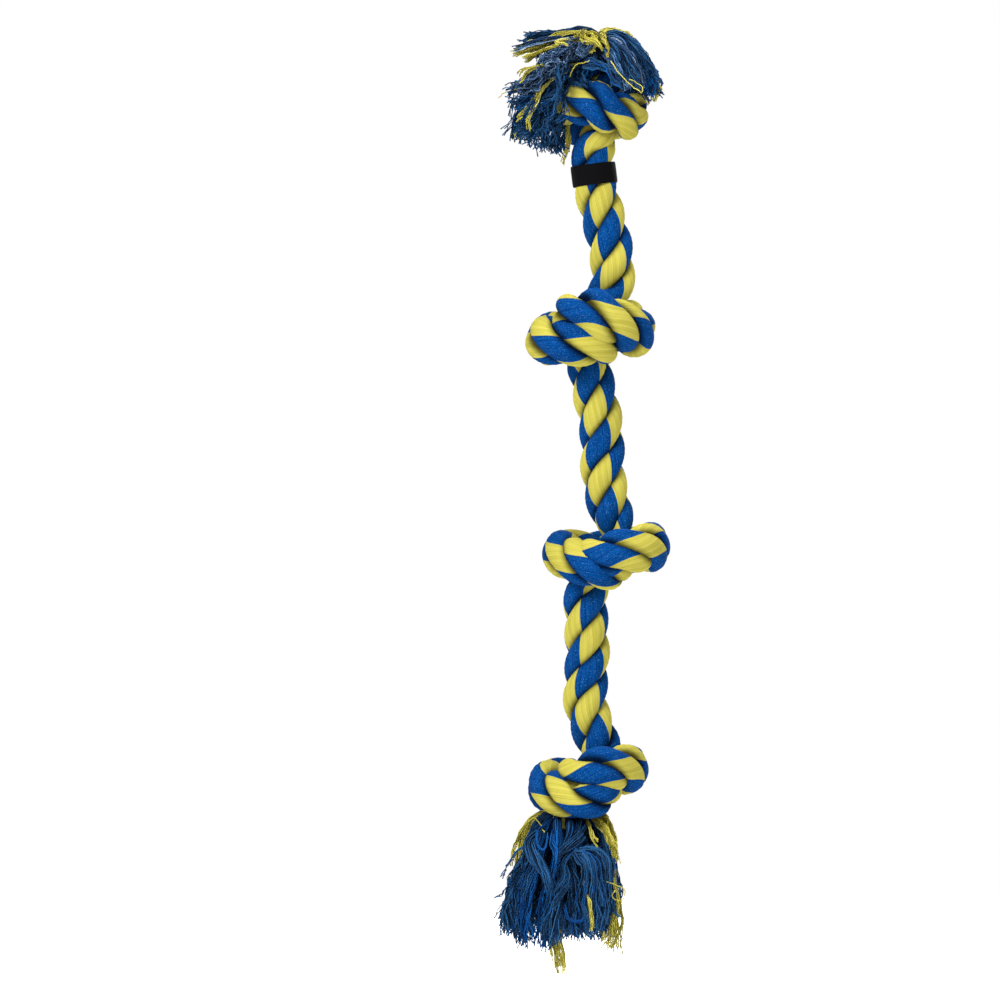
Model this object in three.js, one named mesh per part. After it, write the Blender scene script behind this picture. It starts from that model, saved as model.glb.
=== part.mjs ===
// Knotted rope tug toy: one thick three-strand rope tied into four overhand knots,
// its two ends combed out into yarn tassels, with a woven label band round the rope.
// Millimetres, +Z up. The origin is the middle of the rope where a hand grips it.
import * as THREE from 'three';

// Driving dimensions
const ropeDiameter = 32;
const seatClearance = 0.3;
const leastSelfGap = 0.4;

// The four knots. centreX and centreZ are where a knot sits, enterX and leaveX are where the rope comes in
// above and goes out below, the shares set how wide and how tall the knot is pulled, and facing is -1
// for a knot that shows its other side.
const topKnot = {
  centreX: -7.2, centreZ: 97.2, enterX: -5.6, leaveX: -11.2, spreadShare: 0.8, riseShare: 0.84, facing: -1,
};
const secondKnot = {
  centreX: -13.3, centreZ: -61.2, enterX: 2.9, leaveX: -13, spreadShare: 1, riseShare: 1, facing: 1,
};
const thirdKnot = {
  centreX: -1.4, centreZ: -222.5, enterX: 1.8, leaveX: -15.8, spreadShare: 1, riseShare: 1, facing: 1,
};
const lastKnot = {
  centreX: -13, centreZ: -388.8, enterX: -6.8, leaveX: -22, spreadShare: 0.96, riseShare: 1, facing: 1,
};

// Half of the overhand knot's route, as shares of the rope's diameter, from the middle of the pass behind
// the knot, round one side and across the front, in through the middle and up to the way out.
// The other half is the same line turned half round about the Y axis.
// Each row is x, y, z, then the squeezed rope's half width and half height there.
const knotHalfRouteShares = [
  [0.00, 0.90, 0.00, 0.44, 0.50],
  [-0.42, 0.82, 0.02, 0.44, 0.51],
  [-0.80, 0.50, 0.04, 0.42, 0.50],
  [-0.99, 0.02, 0.02, 0.41, 0.48],
  [-0.92, -0.50, -0.07, 0.35, 0.44],
  [-0.66, -0.90, -0.22, 0.38, 0.37],
  [-0.26, -1.09, -0.36, 0.46, 0.36],
  [0.12, -1.04, -0.43, 0.45, 0.34],
  [0.37, -0.80, -0.42, 0.30, 0.28],
  [0.40, -0.47, -0.29, 0.21, 0.22],
  [0.34, -0.22, 0.00, 0.20, 0.24],
  [0.27, -0.08, 0.33, 0.24, 0.26],
];
const neckHeightShare = 0.68;
const neckHalfSizeShare = 0.42;
const exitStartShare = 0.84;
const exitEndShare = 0.94;

// Detail of the tubes
const ropeSides = 12;
const knotSteps = 56;
const stretchSteps = 10;
const gapSamples = 400;
const gapSpanShare = 1.3;

// Woven label band, sewn round the rope, its middle this far below the end of the top knot
const label = { height: 14, thickness: 1.2, belowKnot: 18, sides: 24 };

// Bottom tassel: the rope's end combed out into yarn that hangs in locks
const bottomTassel = {
  shoulderRadius: 25, shoulderDrop: 9, waistRadius: 31, waistDrop: 42, hemRadius: 41, hemDrop: 92,
  tipDrop: 8, undersideRise: 16, locks: 9, lockDepth: 3.6, lean: 15,
};

// Top tassel: the same yarn, flopped over to one side above the top knot
const topTassel = {
  crownRise: 27, crownRadius: 34, ceiling: 4, locks: 9, lockDepth: 3.4, tipDrop: 6,
  right: { reach: 47, drop: 20, thickness: 12 },
  back: { reach: 58, drop: 28, thickness: 15 },
  left: { reach: 76, drop: 60, thickness: 27 },
  front: { reach: 40, drop: 3, thickness: 18 },
};
const tasselSides = 72;

const blueCotton = new THREE.MeshStandardMaterial({ color: 0x1b4f9c, roughness: 0.95, metalness: 0 });
const limeCotton = new THREE.MeshStandardMaterial({ color: 0xcfcb55, roughness: 0.95, metalness: 0 });
const blackWebbing = new THREE.MeshStandardMaterial({ color: 0x17171a, roughness: 0.85, metalness: 0 });

// A closed mesh from rings of points: side faces between rings and a fan over each end
function closeRings(rings, firstCentre, lastCentre) {
  const sides = rings[0].length;
  const points = rings.flat();
  const faces = [];
  for (let i = 0; i + 1 < rings.length; i++) {
    for (let j = 0; j < sides; j++) {
      const next = (j + 1) % sides;
      const a = i * sides + j;
      const b = i * sides + next;
      faces.push(a, b, a + sides, b, b + sides, a + sides);
    }
  }
  const first = points.push(firstCentre) - 1;
  const last = points.push(lastCentre) - 1;
  const lastRing = (rings.length - 1) * sides;
  for (let j = 0; j < sides; j++) {
    const next = (j + 1) % sides;
    faces.push(first, next, j);
    faces.push(last, lastRing + j, lastRing + next);
  }
  const geometry = new THREE.BufferGeometry().setFromPoints(points);
  geometry.setIndex(faces);
  geometry.computeVertexNormals();
  return geometry;
}

// Radius of a squeezed section in the direction of a unit vector: an ellipsoid of half width and half height
function sectionRadius(size, direction) {
  const across = (direction.x ** 2 + direction.y ** 2) / size.x ** 2;
  return 1 / Math.sqrt(across + direction.z ** 2 / size.y ** 2);
}

// Centre points and section sizes at even steps of the control rows
function sampleRows(rows, steps) {
  const path = new THREE.CatmullRomCurve3(rows.map((row) => row.point), false, 'centripetal');
  const last = rows.length - 1;
  return Array.from({ length: steps + 1 }, (_, i) => {
    const along = (i / steps) * last;
    const lower = Math.min(Math.floor(along), last - 1);
    const size = rows[lower].size.clone().lerp(rows[lower + 1].size, along - lower);
    return { point: path.getPoint(i / steps), tangent: path.getTangent(i / steps), size };
  });
}

// A rope tube through samples, with frames carried along the path so that it doesn't twist
function ropeTube(samples) {
  const side = new THREE.Vector3(0, 1, 0);
  side.addScaledVector(samples[0].tangent, -side.dot(samples[0].tangent)).normalize();
  const rings = samples.map((sample, i) => {
    if (i > 0) {
      side.applyQuaternion(new THREE.Quaternion().setFromUnitVectors(samples[i - 1].tangent, sample.tangent));
    }
    const other = new THREE.Vector3().crossVectors(sample.tangent, side);
    return Array.from({ length: ropeSides }, (_, j) => {
      const angle = (2 * Math.PI * j) / ropeSides;
      const direction = side.clone().multiplyScalar(Math.cos(angle)).addScaledVector(other, Math.sin(angle));
      return sample.point.clone().addScaledVector(direction, sectionRadius(sample.size, direction));
    });
  });
  return closeRings(rings, samples[0].point, samples[samples.length - 1].point);
}

// Control rows of one knot, from its way out at the bottom to its way out at the top
function knotRows(knot) {
  const row = (x, y, z, halfWidth, halfHeight) => ({
    point: new THREE.Vector3(x, y, z),
    size: new THREE.Vector2(halfWidth, halfHeight),
  });
  const wide = ropeDiameter * knot.spreadShare;
  const tall = ropeDiameter * knot.riseShare;
  const half = (sign) => knotHalfRouteShares.map(([x, y, z, w, h]) =>
    row(
      knot.centreX + sign * knot.facing * x * wide,
      knot.facing * y * wide,
      knot.centreZ + sign * z * tall,
      w * wide,
      h * tall,
    ));
  const way = (sign, exitX) => {
    const core = knot.centreX + sign * knot.facing * knotHalfRouteShares.at(-1)[0] * wide;
    const neck = neckHalfSizeShare * ropeDiameter;
    const radius = ropeDiameter / 2;
    const level = (share) => knot.centreZ + sign * share * ropeDiameter;
    return [
      row((core + exitX) / 2, 0, level(neckHeightShare), neck, neck),
      row(exitX, 0, level(exitStartShare), radius, radius),
      row(exitX, 0, level(exitEndShare), radius, radius),
    ];
  };
  const upper = [...half(1), ...way(1, knot.enterX)];
  const lower = [...half(-1).slice(1), ...way(-1, knot.leaveX)];
  return [...lower.reverse(), ...upper];
}

// Least gap of a tube to itself, between samples further apart along it than the rope is thick
function selfGap(samples) {
  const reach = [0];
  for (let i = 1; i < samples.length; i++) {
    reach.push(reach[i - 1] + samples[i].point.distanceTo(samples[i - 1].point));
  }
  let least = Infinity;
  for (let i = 0; i < samples.length; i++) {
    for (let j = i + 1; j < samples.length; j++) {
      if (reach[j] - reach[i] < gapSpanShare * ropeDiameter) continue;
      const between = samples[j].point.clone().sub(samples[i].point);
      const distance = between.length();
      const direction = between.divideScalar(distance);
      const gap = distance - sectionRadius(samples[i].size, direction) - sectionRadius(samples[j].size, direction);
      least = Math.min(least, gap);
    }
  }
  return least;
}

function makeKnot(name, knot) {
  const rows = knotRows(knot);
  const gap = selfGap(sampleRows(rows, gapSamples));
  console.log(`${name}: least gap to itself ${gap.toFixed(2)} mm, wanted over ${leastSelfGap} mm`);
  return ropeTube(sampleRows(rows, knotSteps));
}

// The middle line of a stretch of rope from the knot above to the knot below, upright at both ends
function stretchPath(above, below) {
  const exit = exitEndShare * ropeDiameter + seatClearance;
  const top = new THREE.Vector3(above.leaveX, 0, above.centreZ - exit);
  const bottom = new THREE.Vector3(below.enterX, 0, below.centreZ + exit);
  const handle = (top.z - bottom.z) / 3;
  return new THREE.CubicBezierCurve3(
    bottom,
    bottom.clone().setZ(bottom.z + handle),
    top.clone().setZ(top.z - handle),
    top,
  );
}

function stretchSamples(path) {
  const size = new THREE.Vector2(ropeDiameter / 2, ropeDiameter / 2);
  return Array.from({ length: stretchSteps + 1 }, (_, i) => ({
    point: path.getPoint(i / stretchSteps),
    tangent: path.getTangent(i / stretchSteps),
    size,
  }));
}

// The band: a thin ring with a rectangular wall, closed on itself, whose flats clear the rope
function makeLabel() {
  const inner = (ropeDiameter / 2 + seatClearance) / Math.cos(Math.PI / label.sides);
  const outer = inner + label.thickness;
  const half = label.height / 2;
  const profile = [
    new THREE.Vector2(inner, -half),
    new THREE.Vector2(outer, -half),
    new THREE.Vector2(outer, half),
    new THREE.Vector2(inner, half),
    new THREE.Vector2(inner, -half),
  ];
  return new THREE.LatheGeometry(profile, label.sides).rotateX(Math.PI / 2);
}

// A tassel: one outline of radius and height for each direction round the root, with locks round the hem
function tassel(outline, rootPoint, rootEnd, lastPoint) {
  const rings = outline(0).map((_, level) => Array.from({ length: tasselSides }, (_, j) => {
    const angle = (2 * Math.PI * j) / tasselSides;
    const { radius, z, shift } = outline(angle)[level];
    return new THREE.Vector3(rootPoint.x + shift + radius * Math.cos(angle), radius * Math.sin(angle), z);
  }));
  return closeRings(rings, rootEnd, lastPoint);
}

function makeBottomTassel(knot) {
  const t = bottomTassel;
  const radius = ropeDiameter / 2;
  const rootZ = knot.centreZ - exitEndShare * ropeDiameter - seatClearance;
  const shiftAt = (drop) => -t.lean * (drop / t.hemDrop);
  const outline = (angle) => {
    const lock = Math.abs(Math.sin((t.locks * angle) / 2));
    const at = (r, drop, share) => ({
      radius: r - t.lockDepth * share * (1 - lock),
      z: rootZ - drop - t.tipDrop * share * lock,
      shift: shiftAt(drop),
    });
    return [
      at(radius / 2, t.hemDrop - t.undersideRise, 0),
      at(t.hemRadius - t.lockDepth, t.hemDrop, 1),
      at(t.hemRadius, t.hemDrop, 1),
      at((t.hemRadius + t.waistRadius) / 2, (t.hemDrop + t.waistDrop) / 2, 1),
      at(t.waistRadius, t.waistDrop, 1),
      at(t.shoulderRadius, t.shoulderDrop, 0),
      at(radius, 0, 0),
    ];
  };
  const rootPoint = new THREE.Vector3(knot.leaveX, 0, rootZ);
  const under = new THREE.Vector3(knot.leaveX + shiftAt(t.hemDrop), 0, rootZ - t.hemDrop + t.undersideRise);
  return tassel(outline, rootPoint, under, rootPoint);
}

// A size of the top tassel that changes smoothly round its root between the four sides
function aroundRoot(angle, size) {
  const { right, back, left, front } = topTassel;
  const sideways = Math.cos(angle);
  const depth = Math.sin(angle);
  const alongX = sideways > 0 ? right[size] : left[size];
  const alongY = depth > 0 ? back[size] : front[size];
  return alongX * sideways ** 2 + alongY * depth ** 2;
}

function makeTopTassel(knot) {
  const t = topTassel;
  const radius = ropeDiameter / 2;
  const rootZ = knot.centreZ + exitEndShare * ropeDiameter + seatClearance;
  const outline = (angle) => {
    const lock = Math.abs(Math.sin((t.locks * angle) / 2));
    const reach = aroundRoot(angle, 'reach') - t.lockDepth * (1 - lock);
    const drop = aroundRoot(angle, 'drop') + t.tipDrop * lock;
    const thickness = aroundRoot(angle, 'thickness');
    const inner = reach - thickness;
    const at = (r, z) => ({ radius: r, z: rootZ + z, shift: 0 });
    return [
      at(radius, 0),
      at(radius, t.ceiling),
      at(inner, t.ceiling),
      at(inner, t.ceiling - drop / 2),
      at(inner + thickness / 3, -drop),
      at(reach, -drop),
      at(reach, t.ceiling),
      at((reach + t.crownRadius) / 2, (t.ceiling + t.crownRise) / 2 + t.ceiling),
      at(t.crownRadius / 2, t.crownRise),
    ];
  };
  const rootPoint = new THREE.Vector3(knot.enterX, 0, rootZ);
  const crown = rootPoint.clone().setZ(rootZ + t.crownRise + t.ceiling / 2);
  return tassel(outline, rootPoint, rootPoint, crown);
}

const toy = new THREE.Group();

function addPiece(name, geometry, material) {
  const mesh = new THREE.Mesh(geometry, material);
  mesh.name = name;
  toy.add(mesh);
  return mesh;
}

[topKnot, secondKnot, thirdKnot, lastKnot].forEach((knot, i) => {
  const name = `knot_${i + 1}`;
  addPiece(name, makeKnot(name, knot), blueCotton);
});

const gripPath = stretchPath(topKnot, secondKnot);
addPiece('grip_rope', ropeTube(stretchSamples(gripPath)), limeCotton);
addPiece('upper_rope', ropeTube(stretchSamples(stretchPath(secondKnot, thirdKnot))), limeCotton);
addPiece('lower_rope', ropeTube(stretchSamples(stretchPath(thirdKnot, lastKnot))), limeCotton);

// The band lies square to the rope where it is sewn on, and the rope rises evenly along its path
const band = addPiece('label_band', makeLabel(), blackWebbing);
const bandShare = 1 - label.belowKnot / (gripPath.v3.z - gripPath.v0.z);
band.position.copy(gripPath.getPoint(bandShare));
band.quaternion.setFromUnitVectors(new THREE.Vector3(0, 0, 1), gripPath.getTangent(bandShare));

addPiece('top_tassel', makeTopTassel(topKnot), blueCotton);
addPiece('bottom_tassel', makeBottomTassel(lastKnot), blueCotton);

export default toy;
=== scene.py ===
# Rope dog toy: a thick three-strand cotton rope in blue and lime, tied into four overhand knots,
# with a bare black woven band sewn round it and both ends combed out into yarn tassels.
from functools import partial
import bpy
import numpy as np
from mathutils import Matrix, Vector


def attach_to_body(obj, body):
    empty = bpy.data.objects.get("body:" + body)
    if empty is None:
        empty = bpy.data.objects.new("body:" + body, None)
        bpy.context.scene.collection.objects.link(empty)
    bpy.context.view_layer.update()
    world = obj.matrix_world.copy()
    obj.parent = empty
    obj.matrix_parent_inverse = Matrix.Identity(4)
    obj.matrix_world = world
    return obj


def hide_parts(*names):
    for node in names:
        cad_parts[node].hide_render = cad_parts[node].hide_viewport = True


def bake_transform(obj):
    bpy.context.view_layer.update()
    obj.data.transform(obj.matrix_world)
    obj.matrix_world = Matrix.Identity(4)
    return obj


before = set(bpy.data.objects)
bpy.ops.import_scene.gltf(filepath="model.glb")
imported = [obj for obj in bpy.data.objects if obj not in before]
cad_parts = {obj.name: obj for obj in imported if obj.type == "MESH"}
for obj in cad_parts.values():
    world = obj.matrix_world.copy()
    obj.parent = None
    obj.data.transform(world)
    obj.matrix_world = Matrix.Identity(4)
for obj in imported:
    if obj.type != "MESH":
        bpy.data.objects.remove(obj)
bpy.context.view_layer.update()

MM = 0.001
ROPE = 32.0  # diameter of the rope, mm, which the shares below are shares of

# Camera, light and floor

VIEW_CENTRE = (-77.8, -185.0)  # what the middle of the frame looks at, x and z in mm
VIEW_DISTANCE = 5000.0  # mm
LENS = 250  # mm
SENSOR = 36  # mm
FAR_CLIP = 50  # m
SKY_LIGHT = 0.26  # strength of the light from all round, where 1 is white
FLOOR_LEVEL = -640.0  # mm
FLOOR_HALF = 3.0  # half the length of its side, m
FLOOR_GLOW = 0.75  # what the camera sees on top of the floor's own light, where 1 is white
# The lamps: name, place and target in metres, side in metres and power in watts
LAMPS = (
    ("key", (-1.5, -2.2, 1.5), (0, 0, -0.2), 1.0, 95),
    ("top_light", (0.3, -0.5, 2.0), (0, 0, -0.1), 0.9, 34),
    ("side_fill", (1.9, -1.9, 0.2), (0, 0, -0.2), 1.4, 14),
    ("back_fill", (0.9, 2.4, 0.7), (0, 0, -0.2), 1.6, 55),
)


def linear(hex_colour):
    """sRGB hex to linear: a channel c gives c / 12.92 up to 0.04045, and else ((c + 0.055) / 1.055)^2.4."""
    channels = np.array([int(hex_colour[i:i + 2], 16) for i in (1, 3, 5)]) / 255
    low = channels / 12.92
    high = ((channels + 0.055) / 1.055) ** 2.4
    return (*np.where(channels <= 0.04045, low, high), 1.0)


def node(tree, kind, settings=(), links=()):
    """Adds one shader node. Settings are its properties or its inputs' values. Links feed its inputs, each
    from an output, or from the first output in use of a node."""
    new = tree.nodes.new("ShaderNode" + kind)
    for name, value in dict(settings).items():
        if isinstance(name, str) and hasattr(new, name):
            setattr(new, name, value)
        else:
            new.inputs[name].default_value = value
    for name, source in dict(links).items():
        if isinstance(source, bpy.types.Node):
            source = next(output for output in source.outputs if output.enabled)
        tree.links.new(source, new.inputs[name])
    return new


def bare_material(name):
    """A new material with an empty node tree, and what adds a node to it."""
    material = bpy.data.materials.new(name)
    material.use_nodes = True
    material.node_tree.nodes.clear()
    return material, partial(node, material.node_tree)


def make_camera():
    """A long lens square to the rope: the frame is distance x sensor / lens = 720 mm wide."""
    data = bpy.data.cameras.new("camera")
    data.lens = LENS
    data.sensor_width = SENSOR
    data.clip_end = FAR_CLIP
    camera = bpy.data.objects.new("camera", data)
    x, z = VIEW_CENTRE
    camera.location = (x * MM, -VIEW_DISTANCE * MM, z * MM)
    camera.rotation_euler = (np.pi / 2, 0, 0)
    bpy.context.scene.collection.objects.link(camera)
    bpy.context.scene.camera = camera


def add_lamp(name, place, target, size, power):
    """A square soft lamp at a place, turned to a target."""
    data = bpy.data.lights.new(name, "AREA")
    data.shape = "SQUARE"
    data.size = size
    data.energy = power
    lamp = bpy.data.objects.new(name, data)
    lamp.location = place
    lamp.rotation_euler = (Vector(target) - Vector(place)).to_track_quat("-Z", "Y").to_euler()
    bpy.context.scene.collection.objects.link(lamp)


def seen_share(add):
    """1 for rays from the camera, from a mirror or through glass, and 0 for those that only carry light."""
    path = add("LightPath")
    seen = path.outputs["Is Camera Ray"]
    for kind in ("Is Glossy Ray", "Is Transmission Ray"):
        seen = add("Math", {"operation": "MAXIMUM"}, {0: seen, 1: path.outputs[kind]})
    return seen


def make_world():
    """Even light from all round, which the camera and mirror or glass rays see as plain white."""
    world = bpy.data.worlds.new("surroundings")
    bpy.context.scene.world = world
    world.use_nodes = True
    world.node_tree.nodes.clear()
    add = partial(node, world.node_tree)
    level = add("MapRange", {"To Min": SKY_LIGHT, "To Max": 1.0}, {"Value": seen_share(add)})
    sky = add("Background", {"Color": (1, 1, 1, 1)}, {"Strength": level})
    add("OutputWorld", (), {"Surface": sky})


def make_floor():
    """A flat pale floor well below the hanging toy, of matt painted board with a faint grain of 25 mm. The
    camera sees it white where no shadow falls on it."""
    corners = [(-FLOOR_HALF, -FLOOR_HALF), (FLOOR_HALF, -FLOOR_HALF), (FLOOR_HALF, FLOOR_HALF),
               (-FLOOR_HALF, FLOOR_HALF)]
    mesh = bpy.data.meshes.new("floor")
    mesh.from_pydata([(x, y, FLOOR_LEVEL * MM) for x, y in corners], [], [(0, 1, 2, 3)])
    floor = bpy.data.objects.new("floor", mesh)
    bpy.context.scene.collection.objects.link(floor)
    material, add = bare_material("painted_board")
    place = add("TexCoord")
    grain = add("TexNoise", {"Scale": 40.0, "Detail": 4.0}, {"Vector": place.outputs["Object"]})
    tone = add("Mix", {"data_type": "RGBA", 6: linear("#f2f2f0"), 7: linear("#f8f8f7")}, {0: grain})
    paint = add("BsdfPrincipled", {"Roughness": 0.9, "IOR": 1.45}, {"Base Color": tone})
    glow = add("Emission", {"Color": (1, 1, 1, 1), "Strength": FLOOR_GLOW})
    both = add("AddShader", (), {0: paint, 1: glow})
    mixed = add("MixShader", (), {0: seen_share(add), 1: paint, 2: both})
    add("OutputMaterial", (), {"Surface": mixed})
    mesh.materials.append(material)


make_camera()
make_world()
for lamp in LAMPS:
    add_lamp(*lamp)
make_floor()
bpy.context.scene.view_settings.view_transform = "Standard"

# Materials of the cotton

STRAND_YARNS = 52  # yarns round the outside of one strand: 1 mm each, a little coarser than real
BLUE_YARNS = STRAND_YARNS // 2  # the rest are lime
COTTON_IOR = 1.45


def cotton_start(name):
    """What every cotton starts with: its material and what adds nodes to it, the UV map's place across,
    counted in yarns, and along, in millimetres, the yarn's number, a random level of its own, and the place
    across it."""
    material, add = bare_material(name)
    uv = add("UVMap", {"uv_map": "yarn"})
    split = add("SeparateXYZ", (), {0: uv})
    across, along = split.outputs[0], split.outputs[1]
    number = add("Math", {"operation": "FLOOR"}, {0: across})
    own = add("TexWhiteNoise", {"noise_dimensions": "1D"}, {"W": number})
    part = add("Math", {"operation": "FRACT"}, {0: across})
    return material, add, across, along, number, own, part


def cotton_end(add, dyed, shades, height, relief, finish):
    """What every cotton ends in: matt cloth, its dyed colour times its two shades, which are painted light
    and shade, raised by its height.
    """
    shade = add("Math", {"operation": "MULTIPLY"}, dict(enumerate(shades)))
    colour = add("Mix", {"data_type": "RGBA", "blend_type": "MULTIPLY", 0: 1.0}, {6: dyed, 7: shade})
    bump = add("Bump", relief, {"Height": height})
    cloth = add("BsdfPrincipled", {"IOR": COTTON_IOR, "Sheen Roughness": 0.5, **finish},
                {"Base Color": colour, "Normal": bump})
    add("OutputMaterial", (), {"Surface": cloth})


def laid_cotton():
    """Three-strand cotton rope: matt twisted yarns side by side, half of each strand dyed blue and half
    lime, with painted shade in the grooves between yarns and the creases between strands, a little painted
    light on the strands' crowns, and on the blue pale lint. The attribute open falls from 1 on a strand's
    crown to -1 against its neighbours."""
    material, add, across, along, number, own, part = cotton_start("laid_cotton_rope")
    lime_side = add("Math", {"operation": "GREATER_THAN", 1: BLUE_YARNS - 0.5}, {0: number})
    place = add("CombineXYZ", (), {0: across, 1: along})
    # the tone changes over a yarn and 20 mm of its length, and a tuft of fibres is 0.2 mm by 1.1 mm
    slow_map = add("Mapping", {"Scale": (0.9, 0.05, 1.0)}, {"Vector": place})
    slow = add("TexNoise", {"Scale": 1.0, "Detail": 3.0}, {"Vector": slow_map})
    fibre_map = add("Mapping", {"Scale": (5.0, 0.9, 1.0)}, {"Vector": place})
    fibre = add("TexNoise", {"Scale": 1.0, "Detail": 3.0}, {"Vector": fibre_map})
    tone = add("Math", {"operation": "MULTIPLY_ADD", 1: 0.55}, {0: own, 2: slow})
    tone = add("Math", {"operation": "MULTIPLY_ADD", 1: 0.5}, {0: fibre, 2: tone})
    level = add("MapRange", {"From Min": 0.45, "From Max": 1.35}, {"Value": tone})
    blue = add("Mix", {"data_type": "RGBA", 6: linear("#002a60"), 7: linear("#034a93")}, {0: level})
    lime = add("Mix", {"data_type": "RGBA", 6: linear("#aba236"), 7: linear("#d2c85e")}, {0: level})
    # the specks of lint are 0.9 mm apart, coarser than real, so that they show
    solid = add("TexCoord")
    lint = add("TexNoise", {"Scale": 1100.0, "Detail": 2.0}, {"Vector": solid.outputs["Object"]})
    lint = add("MapRange", {"From Min": 0.57, "From Max": 0.7, "To Max": 0.34}, {"Value": lint})
    linty = add("Mix", {"data_type": "RGBA", 7: linear("#5f9bd6")}, {0: lint, 6: blue})
    dyed = add("Mix", {"data_type": "RGBA"}, {0: lime_side, 6: linty, 7: lime})
    # painted shade: each yarn darker towards its edges, in the grooves beside it
    edge = add("Math", {"operation": "PINGPONG", 1: 0.5}, {0: part})
    groove = add("MapRange", {"From Max": 0.3, "To Min": 0.58, "To Max": 1.0}, {"Value": edge})
    # painted shade in the creases where strands meet, and a little painted light on their crowns
    facing_out = add("Attribute", {"attribute_name": "open"})
    crease = add("MapRange", {"interpolation_type": "SMOOTHSTEP", "From Min": -0.1, "From Max": 0.75,
                              "To Min": 0.12, "To Max": 1.06}, {"Value": facing_out.outputs["Fac"]})
    cotton_end(add, dyed, (groove, crease), fibre, {"Strength": 0.7, "Distance": 0.4 * MM},
               {"Roughness": 0.92, "Specular IOR Level": 0.03, "Sheen Weight": 0.01})
    return material


def combed_yarn(name, dark, light, bright, heart):
    """Loose cotton yarn: matt, softly twisted, each yarn a little lighter or darker than the next, paler
    over the last 5 mm towards its tip, with painted highlight and shade along its twisted plies, and painted
    shade in the gaps between yarns with a little painted light on the outermost. The place along counts from
    the tip. The attribute open is 1 for a yarn on the outside of its lock and falls towards 0 in its heart,
    where the painted shade leaves the share heart of the colour."""
    material, add, _, along, number, own, part = cotton_start(name)
    place = add("CombineXYZ", (), {0: number, 1: along})
    # the tone changes over 8 yarns and 10 mm of their length
    slow_map = add("Mapping", {"Scale": (0.13, 0.1, 1.0)}, {"Vector": place})
    slow = add("TexNoise", {"Scale": 1.0, "Detail": 2.0}, {"Vector": slow_map})
    tone = add("Math", {"operation": "MULTIPLY_ADD", 1: 0.6}, {0: slow, 2: own})
    level = add("MapRange", {"From Min": 0.35, "From Max": 1.2}, {"Value": tone})
    dyed = add("Mix", {"data_type": "RGBA", 6: linear(dark), 7: linear(light)}, {0: level})
    lit = add("MapRange", {"From Min": 0.86, "From Max": 0.98}, {"Value": own})
    vivid = add("Mix", {"data_type": "RGBA", 7: linear(bright)}, {0: lit, 6: dyed})
    # the last 5 mm towards the tip paler
    worn = add("MapRange", {"From Max": 5.0, "To Min": 0.3, "To Max": 0.0}, {"Value": along})
    pale = add("Mix", {"data_type": "RGBA", 7: linear(light)}, {0: worn, 6: vivid})
    # two plies turn once in 4.3 mm, coarser than in real yarn, so that they show; their turn paints
    # highlight and shade along the yarn besides raising it
    twist = add("Math", {"operation": "MULTIPLY_ADD", 1: 0.23}, {0: along, 2: part})
    turn = add("Math", {"operation": "MULTIPLY", 1: 4 * np.pi}, {0: twist})
    ply = add("Math", {"operation": "SINE"}, {0: turn})
    shade = add("MapRange", {"From Min": -1.0, "To Min": 0.55, "To Max": 1.2}, {"Value": ply})
    # painted shade: yarns deep in a lock darker, those on its outside a little lighter
    inside = add("Attribute", {"attribute_name": "open"})
    depth = add("MapRange", {"From Min": 0.25, "From Max": 0.95, "To Min": heart, "To Max": 1.12},
                {"Value": inside.outputs["Fac"]})
    cotton_end(add, pale, (shade, depth), ply, {"Strength": 0.6, "Distance": 0.2 * MM},
               {"Roughness": 0.9, "Specular IOR Level": 0.05, "Sheen Weight": 0.03})
    return material


ROPE_COTTON = laid_cotton()
YARN = {
    "blue": combed_yarn("combed_navy_cotton", "#07203f", "#3773ad", "#0d56a8", 0.22),
    "bright": combed_yarn("combed_bright_blue_cotton", "#062d60", "#1468bb", "#1270c6", 0.22),
    # a paler copy of the navy: painted highlight on the crown's locks
    "worn": combed_yarn("combed_blue_cotton_painted_highlight", "#0f2c55", "#6c95c6", "#a9c2e0", 0.22),
    "lime": combed_yarn("combed_lime_cotton", "#a69c32", "#ece268", "#f6f09a", 0.55),
}

# Shapes


def unit(vectors):
    """Vectors divided by their lengths."""
    return vectors / np.linalg.norm(vectors, axis=-1, keepdims=True)


def ease(t):
    """0 to 1, level at both ends: 3t^2 - 2t^3."""
    return 3 * t**2 - 2 * t**3


def curve_through(rows, steps):
    """Centripetal Catmull-Rom curve through rows, whose first three columns are a point: between two rows a
    cubic in steps, whose slopes at both come from the rows beside them, spaced by the square roots of their
    distances."""
    rows = np.asarray(rows, float)
    padded = np.vstack([2 * rows[0] - rows[1], rows, 2 * rows[-1] - rows[-2]])
    gap = np.sqrt(np.linalg.norm(np.diff(padded[:, :3], axis=0), axis=1))[:, None]
    p0, p1, p2, p3 = padded[:-3], padded[1:-2], padded[2:-1], padded[3:]
    g0, g1, g2 = gap[:-2], gap[1:-1], gap[2:]
    slope1 = ((p1 - p0) / g0 - (p2 - p0) / (g0 + g1) + (p2 - p1) / g1) * g1
    slope2 = ((p2 - p1) / g1 - (p3 - p1) / (g1 + g2) + (p3 - p2) / g2) * g1
    t = (np.arange(steps) / steps)[None, :, None]
    a, b, s, e = p1[:, None], p2[:, None], slope1[:, None], slope2[:, None]
    inner = a + s * t + (3 * b - 3 * a - 2 * s - e) * t**2 + (2 * a - 2 * b + s + e) * t**3
    return np.vstack([inner.reshape(-1, rows.shape[1]), rows[-1:]])


def lengths_along(points):
    """Distance from the first point to each, along the line."""
    return np.r_[0, np.cumsum(np.linalg.norm(np.diff(points[:, :3], axis=0), axis=1))]


def read_off(columns, reach, places):
    """Values of each column, known at reach along a line, read off at places along it."""
    return np.stack([np.interp(places, reach, column) for column in columns.T], axis=-1)


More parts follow.
